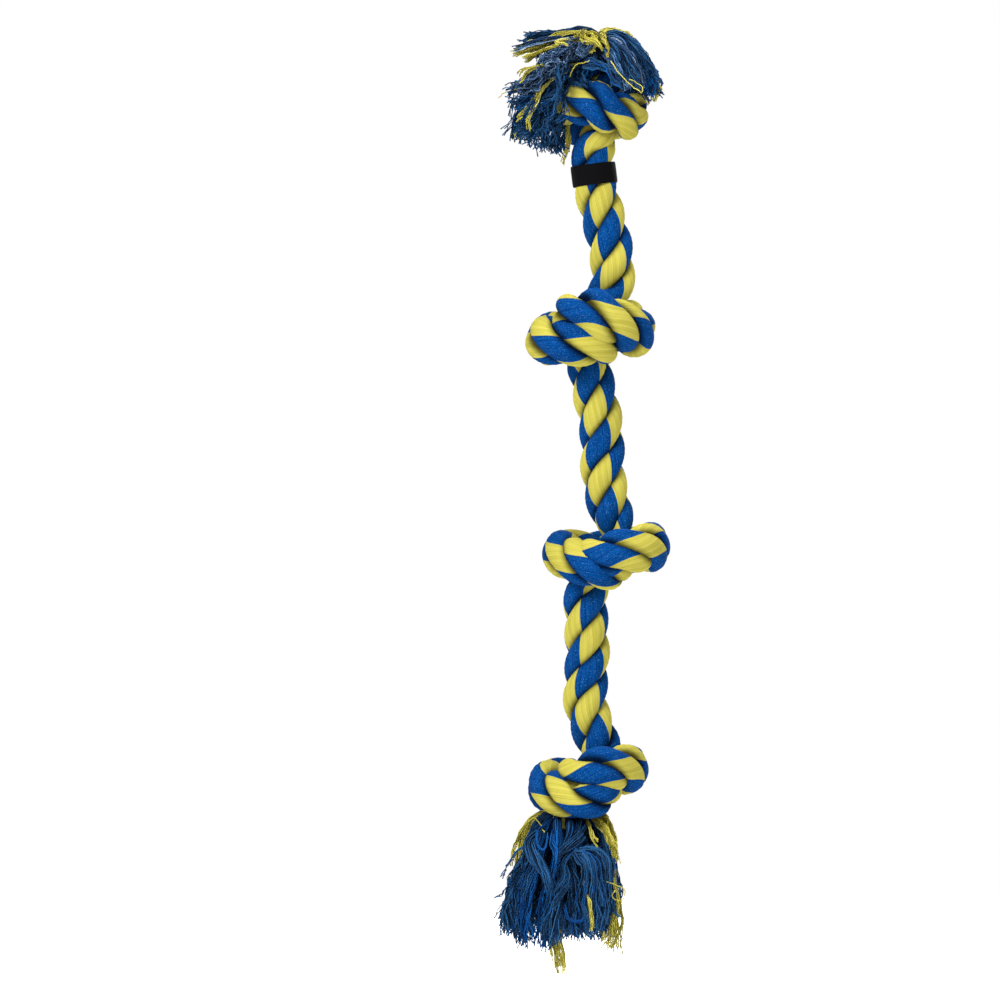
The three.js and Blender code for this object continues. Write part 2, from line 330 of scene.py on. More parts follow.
def carried_frames(points):
    """Normal and binormal at each point of a line. The normal starts along Y and is turned from each
    tangent to the next by the least turn, so the frame doesn't twist about the line."""
    tangent = unit(np.gradient(points, axis=0))
    normal = np.empty_like(points)
    carried = np.array([0.0, 1.0, 0.0])
    for i, heading in enumerate(tangent):
        carried = carried - heading * (carried @ heading)
        carried /= np.linalg.norm(carried)
        normal[i] = carried
    return normal, np.cross(tangent, normal)


def add_piece(name, points, faces, openness, material):
    """A mesh object at the origin, from points in mm and groups of faces. Each group is an array of faces
    with the same number of corners, and an array with a UV pair for each corner. The first group is shaded
    smooth and the others, which are flat ends, aren't. How open each point lies becomes the attribute
    open."""
    sizes = np.concatenate([np.full(len(group), group.shape[1]) for group, _ in faces])
    corners = np.concatenate([group.ravel() for group, _ in faces])
    uv = np.concatenate([pairs.reshape(-1, 2) for _, pairs in faces])
    smooth = np.arange(len(sizes)) < len(faces[0][0])
    mesh = bpy.data.meshes.new(name)
    mesh.vertices.add(len(points))
    mesh.vertices.foreach_set("co", (np.asarray(points) * MM).astype(np.float32).ravel())
    mesh.loops.add(len(corners))
    mesh.loops.foreach_set("vertex_index", corners.astype(np.int32))
    mesh.polygons.add(len(sizes))
    mesh.polygons.foreach_set("loop_start", np.r_[0, np.cumsum(sizes)[:-1]].astype(np.int32))
    mesh.polygons.foreach_set("use_smooth", smooth)
    mesh.update(calc_edges=True)
    mesh.uv_layers.new(name="yarn").data.foreach_set("uv", uv.astype(np.float32).ravel())
    mesh.attributes.new("open", "FLOAT", "POINT").data.foreach_set("value", openness.astype(np.float32))
    mesh.materials.append(material)
    piece = bpy.data.objects.new(name, mesh)
    bpy.context.scene.collection.objects.link(piece)
    return piece


def tube_faces(rings, sides):
    """Quads of a tube of rings x sides points, closed round, and the matching ring and side of each
    corner."""
    ring, side = np.meshgrid(np.arange(rings - 1), np.arange(sides), indexing="ij")
    corner_ring = np.stack([ring, ring, ring + 1, ring + 1], axis=-1)
    corner_side = np.stack([side, side + 1, side + 1, side], axis=-1)
    faces = corner_ring * sides + corner_side % sides
    return faces.reshape(-1, 4), corner_ring.reshape(-1, 4), corner_side.reshape(-1, 4)


def attach(piece, bodies, bend, *nodes):
    """The piece stands for its nodes, which it hides, and rides on its body, or, given two bodies, stays
    where it is with its placing baked into its points.
    Its bend, two heights in mm, is not used."""
    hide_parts(*nodes)
    if len(bodies) == 1:
        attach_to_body(piece, bodies[0])
    else:
        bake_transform(piece)


# The rope

LAY = 73.0  # length in which a strand goes once round the rope, mm
YARN_TURNS = 2.5  # turns of the yarns round their strand in one lay, against the strand's own
YARN_COLUMNS = 3  # columns of points for each yarn: one in the groove beside it, and two on it
GROOVE, RIDGE = -0.2, 0.05  # how far those stand out of the strand, mm
RING_STEP = 2.4  # length of rope between two rings of points, mm
SMOOTHINGS = 3  # times that each ring moves half way to the middle of its neighbours
SEAM_TUCK = 0.99  # share of its size that the first and last ring of a length keep
# A strand's section: how far its crown stands out, as a share of the rope's half thickness there, then its
# half depth towards the rope's middle and its half width, as shares of the rope's whole thickness
FREE_STRAND = np.array([1.02, 0.24, 0.262])

# The four knots from the top: where they sit, where the rope comes in above and goes out below, how wide
# and how tall they are pulled, which side they show, and the section of the strands in them
KNOTS = {
    "knot_1": dict(x=-7.2, z=97.2, enter=-5.6, leave=-11.2, wide=0.8, tall=0.84, facing=-1,
                   strand=(1.074, 0.244, 0.278)),
    "knot_2": dict(x=-13.3, z=-61.2, enter=2.9, leave=-13.0, wide=1.0, tall=1.0, facing=1,
                   strand=(1.071, 0.252, 0.281)),
    "knot_3": dict(x=-1.4, z=-222.5, enter=1.8, leave=-15.8, wide=1.0, tall=1.0, facing=1,
                   strand=(1.028, 0.26, 0.314)),
    "knot_4": dict(x=-13.0, z=-388.8, enter=-6.8, leave=-22.0, wide=0.96, tall=1.0, facing=1,
                   strand=(1.046, 0.245, 0.292)),
}
# Outside the knot the rope runs on through three more rows: their heights and half thicknesses, as shares
WAY_OUT = np.array([0.68, 0.84, 0.94])
WAY_OUT_HALF = np.array([0.44, 0.5, 0.5])
EXIT = WAY_OUT[-1] * ROPE + 0.3  # from a knot's middle to the stretch beside it, with the solids' 0.3 mm gap
KNOT_STEPS = 14  # points from each row of a knot to the next
KNOT_EASE = 0.12  # share of a knot's length over which the section changes

# The overhand knots' routes in hundredths of the diameter: from the middle of the pass behind the knot,
# round one side and across the front, in through the middle and out, first downwards and then upwards. Each
# row is x, y, z, half width and half height, written as for the upper half; the lower one is it half turned
# about Y.
KNOT_HALVES = {
    "knot_1": np.array([[
        (0, 95, 0, 45, 66), (-38, 83, -9, 46, 60), (-76, 48, -14, 46, 52), (-102, -4, 0, 46, 50),
        (-98, -53, -6, 46, 48), (-70, -94, -19, 45, 47), (-24, -113, -34, 45, 44), (8, -107, -42, 46, 42),
        (30, -81, -42, 42, 41), (35, -47, -30, 35, 33), (28, -22, 0, 27, 32), (22, -8, 33, 31, 34)
    ], [
        (0, 95, 0, 45, 66), (-45, 89, -19, 45, 62), (-84, 48, -28, 41, 58), (-101, 0, -11, 38, 53),
        (-86, -49, -9, 38, 50), (-60, -86, -28, 42, 48), (-18, -103, -46, 48, 45), (24, -98, -62, 50, 43),
        (46, -76, -58, 51, 44), (48, -55, -38, 41, 35), (37, -32, -7, 30, 29), (29, -14, 28, 33, 30)
    ]]) / 100,
    "knot_2": np.array([[
        (0, 91, 0, 41, 54), (-41, 80, -8, 41, 56), (-80, 49, -7, 42, 58), (-100, 2, 6, 45, 58),
        (-96, -45, 10, 48, 48), (-70, -97, -5, 47, 51), (-26, -121, -21, 43, 60), (14, -114, -29, 42, 57),
        (42, -84, -26, 42, 48), (42, -46, -16, 36, 32), (29, -21, 8, 27, 27), (27, -8, 37, 26, 26)
    ], [
        (0, 91, 0, 41, 54), (-42, 90, -14, 43, 54), (-75, 52, -14, 43, 53), (-95, 0, -27, 43, 55),
        (-97, -50, -28, 44, 51), (-67, -86, -34, 45, 51), (-23, -103, -36, 48, 50), (18, -95, -36, 49, 46),
        (31, -72, -38, 47, 42), (33, -41, -26, 33, 35), (24, -20, -3, 30, 32), (18, -8, 31, 39, 33)
    ]]) / 100,
    "knot_3": np.array([[
        (0, 91, 0, 43, 49), (-41, 88, 2, 41, 51), (-82, 52, -12, 41, 51), (-102, -1, -11, 41, 56),
        (-95, -54, -11, 41, 54), (-74, -99, -10, 41, 53), (-33, -118, -1, 39, 53), (11, -110, 9, 38, 51),
        (39, -81, 15, 39, 43), (43, -46, 7, 34, 33), (38, -22, 17, 27, 28), (28, -8, 40, 29, 32)
    ], [
        (0, 91, 0, 43, 49), (-42, 82, 0, 46, 45), (-80, 53, 6, 44, 45), (-101, 11, 1, 42, 50),
        (-95, -37, -7, 41, 51), (-65, -84, -23, 41, 49), (-28, -103, -37, 42, 40), (-6, -95, -45, 42, 38),
        (14, -74, -42, 41, 40), (30, -50, -19, 33, 36), (31, -27, 6, 24, 30), (32, -12, 34, 29, 29)
    ]]) / 100,
    "knot_4": np.array([[
        (0, 87, 0, 43, 51), (-40, 83, -15, 43, 54), (-76, 51, -27, 41, 55), (-97, 1, -31, 39, 52),
        (-89, -50, -35, 38, 52), (-64, -88, -39, 41, 50), (-21, -114, -34, 40, 52), (16, -109, -23, 38, 50),
        (42, -82, -13, 39, 47), (45, -49, -11, 36, 35), (33, -27, 6, 28, 30), (24, -14, 36, 30, 36)
    ], [
        (0, 87, 0, 43, 51), (-29, 76, 0, 44, 47), (-77, 46, 8, 42, 47), (-99, 0, 1, 42, 54),
        (-98, -49, -13, 44, 52), (-64, -94, -26, 45, 45), (-17, -115, -35, 46, 40), (13, -103, -31, 45, 39),
        (30, -79, -14, 43, 41), (35, -48, 4, 33, 31), (36, -24, 6, 26, 31), (24, -12, 29, 30, 30)
    ]]) / 100,
}

BAND = dict(height=15.0, below_knot=16.5, inner=15.2, thickness=1.0)  # the woven band, mm
BAND_GRIP = 1.5  # how far it draws the rope in, mm
BAND_REACH = 10.0  # length of rope over which that fades, mm

# The stretches from the bottom: the knots above and below, and how far each bows off its easy line, in mm
# of one, two and three half waves along it
STRETCHES = {
    "lower_rope": ("knot_3", "knot_4", (-5.1, -3.4, -1.2)),
    "upper_rope": ("knot_2", "knot_3", (0.7, -3.0, -0.7)),
    "grip_rope": ("knot_1", "knot_2", (0.9, 0.9, 0.2)),
}
STRETCH_POINTS = 42

# Turns added to the lay of the strands and to their dyed side: part, share of its length, and both turns
PHASES = [
    ("knot_4", 0.20, 0.330, 0.843),
    ("knot_4", 0.50, 0.355, 0.905),
    ("knot_4", 0.80, 0.379, 0.966),
    ("lower_rope", 0.04, 0.385, 0.894),
    ("lower_rope", 0.96, 0.420, 0.836),
    ("knot_3", 0.20, 0.393, 0.592),
    ("knot_3", 0.50, 0.367, 0.523),
    ("knot_3", 0.80, 0.330, 0.428),
    ("upper_rope", 0.04, 0.376, 0.295),
    ("upper_rope", 0.96, 0.369, 0.262),
    ("knot_2", 0.20, 0.404, 0.055),
    ("knot_2", 0.50, 0.400, 0.045),
    ("knot_2", 0.80, 0.393, 0.034),
    ("grip_rope", 0.04, 0.307, -0.432),
    ("grip_rope", 0.96, 0.320, -0.451),
    ("knot_1", 0.20, 0.507, -0.469),
    ("knot_1", 0.50, 0.639, -0.623),
    ("knot_1", 0.80, 0.781, -0.750),
]

NECK_BEND = (43.0, 67.0)  # two heights under the first knot, mm
# Lengths of rope: part, where it starts and ends as shares of the part, its name's ending, the body it
# rides on or the two it lies between, and two heights in mm
LENGTHS = [
    ("knot_4", 0.0, 1.0, "", ("knot_4",), ()),
    ("lower_rope", 0.0, 0.5, "_lower_half", ("lower_rope", "knot_4"), (-305.6, -358.4)),
    ("lower_rope", 0.5, 1.0, "_upper_half", ("knot_3", "lower_rope"), (-252.9, -305.6)),
    ("knot_3", 0.0, 1.0, "", ("knot_3",), ()),
    ("upper_rope", 0.0, 0.5, "_lower_half", ("upper_rope", "knot_3"), (-141.9, -192.1)),
    ("upper_rope", 0.5, 1.0, "_upper_half", ("knot_2", "upper_rope"), (-91.6, -141.9)),
    ("knot_2", 0.0, 1.0, "", ("knot_2",), ()),
    ("grip_rope", 0.0, 0.5, "_lower_half", ("grip", "knot_2"), (3.0, -31.0)),
    ("grip_rope", 0.5, 1.0, "_upper_half", ("grip", "knot_1"), NECK_BEND),
    ("knot_1", 0.0, 1.0, "", ("knot_1",), ()),
]


def knot_rows(name):
    """Centre line, section and strand shares of one knot, bottom to top: a smooth curve through the lower
    way out, both halves of the route, joined behind, and the upper way out. The strand shares ease from
    free rope to tied and back over KNOT_EASE."""
    knot = KNOTS[name]
    wide, tall, facing = ROPE * knot["wide"], ROPE * knot["tall"], knot["facing"]
    halves = []
    for sign, exit_x, half in zip((-1, 1), (knot["leave"], knot["enter"]), KNOT_HALVES[name]):
        rows = half * (sign * facing * wide, facing * wide, sign * tall, wide, tall)
        rows += (knot["x"], 0, knot["z"], 0, 0)
        across = [(rows[-1, 0] + exit_x) / 2, exit_x, exit_x]
        level = knot["z"] + sign * ROPE * WAY_OUT
        sizes = ROPE * WAY_OUT_HALF
        halves.append(np.vstack([rows, np.stack([across, 0 * level, level, sizes, sizes], axis=1)]))
    line = curve_through(np.vstack([halves[0][:0:-1], halves[1]]), KNOT_STEPS)
    t = np.linspace(0, 1, len(line))
    tied = ease(np.clip(np.minimum(t, 1 - t) / KNOT_EASE, 0, 1))[:, None]
    return np.hstack([line, FREE_STRAND + (knot["strand"] - FREE_STRAND) * tied])


def stretch_rows(name):
    """A stretch between two knots: a cubic, upright at both ends, so that x eases over as z rises evenly,
    and half waves added to x for its bow. Under the band it is drawn in by BAND_GRIP exp(-(h /
    BAND_REACH)^2), h mm off the band's middle."""
    above, below, bow = STRETCHES[name]
    t = np.linspace(0, 1, STRETCH_POINTS)
    bottom, top = KNOTS[below]["z"] + EXIT, KNOTS[above]["z"] - EXIT
    x = KNOTS[below]["enter"] + (KNOTS[above]["leave"] - KNOTS[below]["enter"]) * ease(t)
    x = x + sum(size * np.sin(waves * np.pi * t) for waves, size in enumerate(bow, start=1))
    level = bottom + (top - bottom) * t
    thick = np.full(STRETCH_POINTS, ROPE / 2)
    if name == "grip_rope":
        thick -= BAND_GRIP * np.exp(-((level - top + BAND["below_knot"]) / BAND_REACH) ** 2)
    return np.stack([x, 0 * t, level, thick, thick] + [0 * t + share for share in FREE_STRAND], axis=1)


def whole_rope():
    """The rope's centre line from the bottom tassel to the top one, at even steps: rows of point, half
    width, half height and strand shares, distances along, and the ring at which each part ends."""
    parts = {"knot_4": knot_rows("knot_4")}
    for name, (above, _, _) in STRETCHES.items():
        parts[name] = stretch_rows(name)
        parts[above] = knot_rows(above)
    rows = np.vstack(list(parts.values()))
    reach = lengths_along(rows)
    ends = reach[np.cumsum([len(part) for part in parts.values()]) - 1]
    places = np.linspace(0, reach[-1], int(reach[-1] / RING_STEP) + 1)
    rows = read_off(rows, reach, places)
    for _ in range(SMOOTHINGS):
        rows[1:-1] = rows[:-2] / 4 + rows[1:-1] / 2 + rows[2:] / 4
    rings = np.searchsorted(places, ends - RING_STEP / 2)
    return rows, places, dict(zip(parts, rings.tolist()))


def added_turns(turns):
    """Turns given at the places of PHASES, read off all along the rope. Each step from one to the next is
    eased in and out: v0 + (v1 - v0)(3t^2 - 2t^3)."""
    at = np.array([rope_places[round(part_starts[name] + (part_ends[name] - part_starts[name]) * share)]
                   for name, share, _, _ in PHASES])
    index = np.clip(np.searchsorted(at, rope_places) - 1, 0, len(at) - 2)
    t = np.clip((rope_places - at[index]) / (at[index + 1] - at[index]), 0, 1)
    return turns[index] + (turns[index + 1] - turns[index]) * ease(t)


def strand_surface(number):
    """One strand of the rope: its centre winds round the rope's line inside the squeezed section, which is
    an ellipsoid of the row's half width and half height, and an ellipse is carried along it. Its columns of
    points follow the yarns, which turn the other way, and each yarn stands out as a low ridge. Also gives
    the cosine of each point's turn round the strand from its crown."""
    normal, binormal = carried_frames(rope_rows[:, :3])
    lay, dye = np.array([row[2:] for row in PHASES]).T
    lay_turns = rope_places / LAY + added_turns(lay) + number / 3
    dye_turns = YARN_TURNS * rope_places / LAY + added_turns(dye) + number / 3
    angle = 2 * np.pi * lay_turns[:, None]
    outward = np.cos(angle) * normal + np.sin(angle) * binormal
    width, height, crown, depth_share, width_share = rope_rows[:, 3:].T
    reach = 1 / np.sqrt((outward[:, 0]**2 + outward[:, 1]**2) / width**2 + outward[:, 2]**2 / height**2)
    half_depth = depth_share * (width + height)
    half_width = width_share * (width + height)
    centre = rope_rows[:, :3] + (crown * reach - half_depth)[:, None] * outward
    heading = unit(np.gradient(centre, axis=0))
    outer = unit(outward - heading * (outward * heading).sum(axis=1, keepdims=True))
    side = np.cross(heading, outer)
    columns = np.arange(STRAND_YARNS * YARN_COLUMNS)
    turn = 2 * np.pi * (columns[None, :] / columns.size - dye_turns[:, None])
    ridge = np.where(columns % YARN_COLUMNS == 0, GROOVE, RIDGE)
    deep = ((half_depth[:, None] + ridge) * np.cos(turn))[:, :, None] * outer[:, None]
    wide = ((half_width[:, None] + ridge) * np.sin(turn))[:, :, None] * side[:, None]
    return centre[:, None] + deep + wide, np.cos(turn)


def tucked(rings):
    """The rings with the first and the last drawn in a little towards their middles."""
    rings = rings.copy()
    middles = rings[[0, -1]].mean(axis=1, keepdims=True)
    rings[[0, -1]] = middles + (rings[[0, -1]] - middles) * SEAM_TUCK
    return rings


def strand_piece(name, surface, openness, places):
    """A length of strand as a closed tube. Its UV map counts yarns across and millimetres along."""
    rings, sides = surface.shape[:2]
    quads, corner_ring, corner_side = tube_faces(rings, sides)
    quad_uv = np.stack([corner_side / YARN_COLUMNS, places[corner_ring]], axis=-1)
    middles = surface[[0, -1]].mean(axis=1)
    points = np.vstack([surface.reshape(-1, 3), middles])
    ring = np.arange(sides)
    last = (rings - 1) * sides
    first_end = np.stack([np.full(sides, len(points) - 2), (ring + 1) % sides, ring], axis=1)
    last_end = np.stack([np.full(sides, len(points) - 1), last + ring, last + (ring + 1) % sides], axis=1)
    ends = np.vstack([first_end, last_end])
    end_uv = np.stack([np.tile(ring / YARN_COLUMNS, 2), np.repeat(places[[0, -1]], sides)], axis=1)
    end_uv = np.repeat(end_uv[:, None], 3, axis=1)
    shares = np.r_[openness.ravel(), 1.0, 1.0]
    return add_piece(name, points, [(quads, quad_uv), (ends, end_uv)], shares, ROPE_COTTON)


def make_rope():
    """Every length of the rope, strand by strand. Each runs one ring on into the next, tucked under its
    skin, so that no seam shows."""
    surfaces = [strand_surface(number) for number in range(3)]
    for part, low, high, ending, bodies, bend in LENGTHS:
        start, end = part_starts[part], part_ends[part]
        first = max(round(start + (end - start) * low) - 1, 0)
        last = round(start + (end - start) * high) + 2
        for letter, (surface, openness) in zip("abc", surfaces):
            name = f"{part}{ending}_strand_{letter}"
            rings, places = tucked(surface[first:last]), rope_places[first:last]
            attach(strand_piece(name, rings, openness[first:last], places), bodies, bend, part)


rope_rows, rope_places, part_ends = whole_rope()
part_starts = dict(zip(part_ends, [0, *part_ends.values()]))
make_rope()

# The woven band

WARP_PITCH, WEFT_PITCH = 0.9, 0.7  # mm from thread to thread round and up the band, coarser than real
BAND_STEPS = 144
BAND_CORNERS = 24
BAND_ROLL = 0.35  # power that squares the section: 1 is an ellipse and 0 a bar with sharp edges
BAND_OVAL = 0.15  # mm


def woven_tape():
    """Plain black woven tape: fine polyester ribs across the band, a little dust in them, and a low sheen
    that changes from place to place. The UV map is millimetres round and millimetres up."""
    material, add = bare_material("black_woven_tape")
    uv = add("UVMap", {"uv_map": "yarn"})
    split = add("SeparateXYZ", (), {0: uv})
    threads = []
    for place, pitch in zip(split.outputs, (WARP_PITCH, WEFT_PITCH)):
        turn = add("Math", {"operation": "MULTIPLY", 1: 2 * np.pi / pitch}, {0: place})
        threads.append(add("Math", {"operation": "SINE"}, {0: turn}))
    weave = add("Math", {"operation": "MULTIPLY"}, dict(enumerate(threads)))
    level = add("MapRange", {"From Min": -1.0}, {"Value": weave})
    fuzz = add("TexNoise", {"Scale": 1.3, "Detail": 4.0}, {"Vector": uv})
    tone = add("Mix", {"data_type": "RGBA", 6: linear("#020203"), 7: linear("#08080a")}, {0: level})
    dusty = add("Mix", {"data_type": "RGBA", 7: linear("#0e0e10")}, {0: fuzz, 6: tone})
    bump = add("Bump", {"Strength": 0.5, "Distance": 0.2 * MM}, {"Height": level})
    rough = add("MapRange", {"To Min": 0.62, "To Max": 0.8}, {"Value": fuzz})
    tape = add("BsdfPrincipled", {"IOR": 1.5, "Specular IOR Level": 0.03},
               {"Base Color": dusty, "Roughness": rough, "Normal": bump})
    add("OutputMaterial", (), {"Surface": tape})
    return material


def make_band():
    """The band: a closed strip carried round the rope, square to it. Its section is a thin upright bar with
    rolled edges, whose half height at an angle is |sin|^BAND_ROLL of the whole, and it is a little oval:
    its radius grows by BAND_OVAL cos(2 angle)."""
    start, end = part_starts["grip_rope"], part_ends["grip_rope"]
    level = KNOTS["knot_1"]["z"] - EXIT - BAND["below_knot"]
    row = start + int(np.argmin(np.abs(rope_rows[start:end, 2] - level)))
    centre = rope_rows[row, :3]
    axis = unit(rope_rows[row + 1, :3] - rope_rows[row - 1, :3])
    across = unit(np.cross([0.0, 1.0, 0.0], axis))
    depth = np.cross(axis, across)
    angle = 2 * np.pi * np.arange(BAND_STEPS) / BAND_STEPS
    corner = np.linspace(0, 2 * np.pi, BAND_CORNERS, endpoint=False)
    upright = np.sign(np.sin(corner)) * np.abs(np.sin(corner)) ** BAND_ROLL * BAND["height"] / 2
    thick = np.cos(corner) * BAND["thickness"] / 2
    radius = BAND["inner"] + BAND["thickness"] / 2 + BAND_OVAL * np.cos(2 * angle)[:, None] + thick
    spoke = np.cos(angle)[:, None] * across + np.sin(angle)[:, None] * depth
    points = centre + radius[:, :, None] * spoke[:, None] + upright[None, :, None] * axis
    # the strip closes on itself, and its faces turn the other way from a tube's
    quads = tube_faces(BAND_STEPS + 1, BAND_CORNERS)
    _, corner_ring, corner_side = (corners[:, [0, 3, 2, 1]] for corners in quads)
    faces = corner_ring % BAND_STEPS * BAND_CORNERS + corner_side % BAND_CORNERS
    round_mm = corner_ring * (2 * np.pi * BAND["inner"] / BAND_STEPS)
    uv = np.stack([round_mm, upright[corner_side % BAND_CORNERS]], axis=-1)
    openness = np.ones(BAND_STEPS * BAND_CORNERS)
    band = add_piece("label_band_tape", points.reshape(-1, 3), [(faces, uv)], openness, woven_tape())
    attach(band, ("grip", "knot_1"), NECK_BEND, "label_band")


make_band()

# The tassels

YARN_SIDES = 3
YARN_STEPS = 22  # lengths from ring to ring of a yarn
YARN_RADIUS = 0.4  # mm, a little coarser than real cotton yarn
CUT_END = 1.35  # how much fuller its cut end is
UV_TURN = 0.98  # share of a whole number that one turn round a yarn takes in the UV map
SLANT = (0.23, 0.87, 0.43)  # a direction that no yarn follows, from which its sides are turned
YARNS_IN_STRING = 8
MOST_YARNS = 1400  # in one piece
GUIDE_STEPS = 12  # points from each point of a lock's line to the next
GOLDEN_ANGLE = np.pi * (3 - np.sqrt(5))

# How the strings and yarns of one lock differ
STRING_SHORT, YARN_SHORT = 0.2, 0.08  # the most that each falls short by, as a share of the lock's length
FEW_SHORT = 1.6  # power that makes short strings fewer
STRING_SPREAD = 0.8  # power that moves strings out towards the lock's skin
DRAW_IN = 0.55  # share of a string's radius that is gone at its end
STRING_OFF = 0.25  # typical angle of a string off its place in the pattern
STRING_TWIST = 1.2  # typical turns of the yarns in a string
# Waves in one length, their size as a share of the lock's, and whether the yarns of a string share them
WAVES = ((1.6, 1.2, True), (3.1, 0.8, True), (4.7, 0.5, False), (9.0, 0.45, False))
WAVES_OFF = 0.2  # typical share by which that number of waves differs
WAVE_AT_ROOT = 0.15  # what a wave has at the root of what it gains along the lock
STRING_DRIFT, YARN_DRIFT, HOOK = 0.8, 0.4, 0.8  # typical shares of the lock's fray
STRAYS, STRAY_TIMES = 1 / 16, 2.0  # share of the yarns that stray, and how much further they do
STRING_SHARE, YARN_SHARE = 0.4, 0.6  # of a yarn's openness, from its string's place and from its own


def lock_lines(rng, guide, count, radii, twist, wave, fray):
    """The yarns of one lock, as count centre lines of YARN_STEPS + 1 points. They hang in strings of about
    YARNS_IN_STRING. The strings keep their places in the lock's round section, on a sunflower pattern,
    while the section follows the guide, changes radius and turns by twist, and each yarn has a place in its
    string on a smaller sunflower that turns too and draws in by DRAW_IN t, t being the share of the length.
    Waves of wave mm run along strings and yarns, and their ends drift fray mm to their own side as t^3 and
    hook back as t^9. Also gives how open each yarn lies: its string's place in the lock and its own in the
    string, each 0 in the middle and 1 outside, weighed together."""
    fine = curve_through(guide, GUIDE_STEPS)
    reach = lengths_along(fine)
    each = np.arange(count)
    strings = max(1, round(count / YARNS_IN_STRING))
    own = each * strings // count
    within = each - np.searchsorted(own, own)
    string_place = np.sqrt((own + 0.5) / strings)
    yarn_place = np.sqrt((within + 0.5) / np.bincount(own)[own])
    share = (1 - STRING_SHORT * rng.random(strings) ** FEW_SHORT)[own] * (1 - YARN_SHORT * rng.random(count))
    t = np.linspace(0, 1, YARN_STEPS + 1)[None] * share[:, None]
    line, across, other = (read_off(rows, reach, t * reach[-1]) for rows in (fine, *carried_frames(fine)))
    lock_radius = np.interp(t, np.linspace(0, 1, len(radii)), radii)
    string_radius = lock_radius / np.sqrt(strings) * (1 - DRAW_IN * t)
    ring = (lock_radius - string_radius) * (string_place ** STRING_SPREAD)[:, None]
    small_ring = string_radius * yarn_place[:, None]
    angle = own * GOLDEN_ANGLE + STRING_OFF * rng.standard_normal(strings)[own]
    angle = angle[:, None] + 2 * np.pi * twist * t
    turns = (STRING_TWIST * rng.standard_normal(strings))[own]
    turning = (within * GOLDEN_ANGLE)[:, None] + 2 * np.pi * turns[:, None] * t
    sideways = np.stack([ring * np.cos(angle) + small_ring * np.cos(turning),
                         ring * np.sin(angle) + small_ring * np.sin(turning)])
    for cycles, size, together in WAVES:
        members = own if together else each
        phase = 2 * np.pi * rng.random((2, count, 1))[:, members]
        number = cycles * (1 + WAVES_OFF * rng.standard_normal((count, 1))[members])
        sideways += wave * size * (WAVE_AT_ROOT + t) * np.sin(2 * np.pi * number * t + phase)
    drift = STRING_DRIFT * rng.standard_normal((2, count, 1))[:, own]
    drift += YARN_DRIFT * rng.standard_normal((2, count, 1))
    loose = np.where(rng.random((count, 1)) < STRAYS, STRAY_TIMES, 1.0)
    sideways += fray * loose * (drift * t**3 + HOOK * rng.standard_normal((2, count, 1)) * t**9)
    openness = STRING_SHARE * string_place + YARN_SHARE * yarn_place if strings > 1 else np.ones(count)
    return line + sideways[0][..., None] * across + sideways[1][..., None] * other, openness


def yarn_mesh(name, lines, openness, material):
    """Thin closed tubes along many centre lines at once, their last ring fuller where the cut end frays.
    Each ring lies square to its line, turned the same way as the others by a fixed slanting direction. The
    UV map has the yarn's number plus the place round it, and the millimetres that are left to its tip."""
    count, steps = lines.shape[:2]
    heading = unit(np.gradient(lines, axis=1))
    side = unit(np.cross(heading, SLANT))
    other = np.cross(heading, side)
    turn = 2 * np.pi * np.arange(YARN_SIDES) / YARN_SIDES
    girth = YARN_RADIUS * np.r_[np.ones(steps - 1), CUT_END]
    ring = np.cos(turn)[:, None] * side[:, :, None] + np.sin(turn)[:, None] * other[:, :, None]
    points = lines[:, :, None] + girth[None, :, None, None] * ring
    quads, corner_ring, corner_side = tube_faces(steps, YARN_SIDES)
    first = (np.arange(count) * steps * YARN_SIDES)[:, None, None]
    ends = np.array([np.arange(YARN_SIDES)[::-1], np.arange(YARN_SIDES) + (steps - 1) * YARN_SIDES])
    steps_along = np.linalg.norm(np.diff(lines, axis=1), axis=2)
    gone = np.concatenate([np.zeros((count, 1)), np.cumsum(steps_along, axis=1)], axis=1)
    left = gone[:, -1:] - gone
    number = np.arange(count)[:, None, None]
    place = number + corner_side * UV_TURN / YARN_SIDES
    side_uv = np.stack(np.broadcast_arrays(place, left[:, corner_ring]), axis=-1)
    end_left = left[:, [0, -1], None] + np.zeros(YARN_SIDES)
    end_uv = np.stack(np.broadcast_arrays(number + 0.5, end_left), axis=-1)
    faces = [((quads[None] + first).reshape(-1, 4), side_uv.reshape(-1, 4, 2)),
             ((ends[None] + first).reshape(-1, YARN_SIDES), end_uv.reshape(-1, YARN_SIDES, 2))]
    openness = np.repeat(openness, steps * YARN_SIDES)
    return add_piece(name, points.reshape(-1, 3), faces, openness, material)


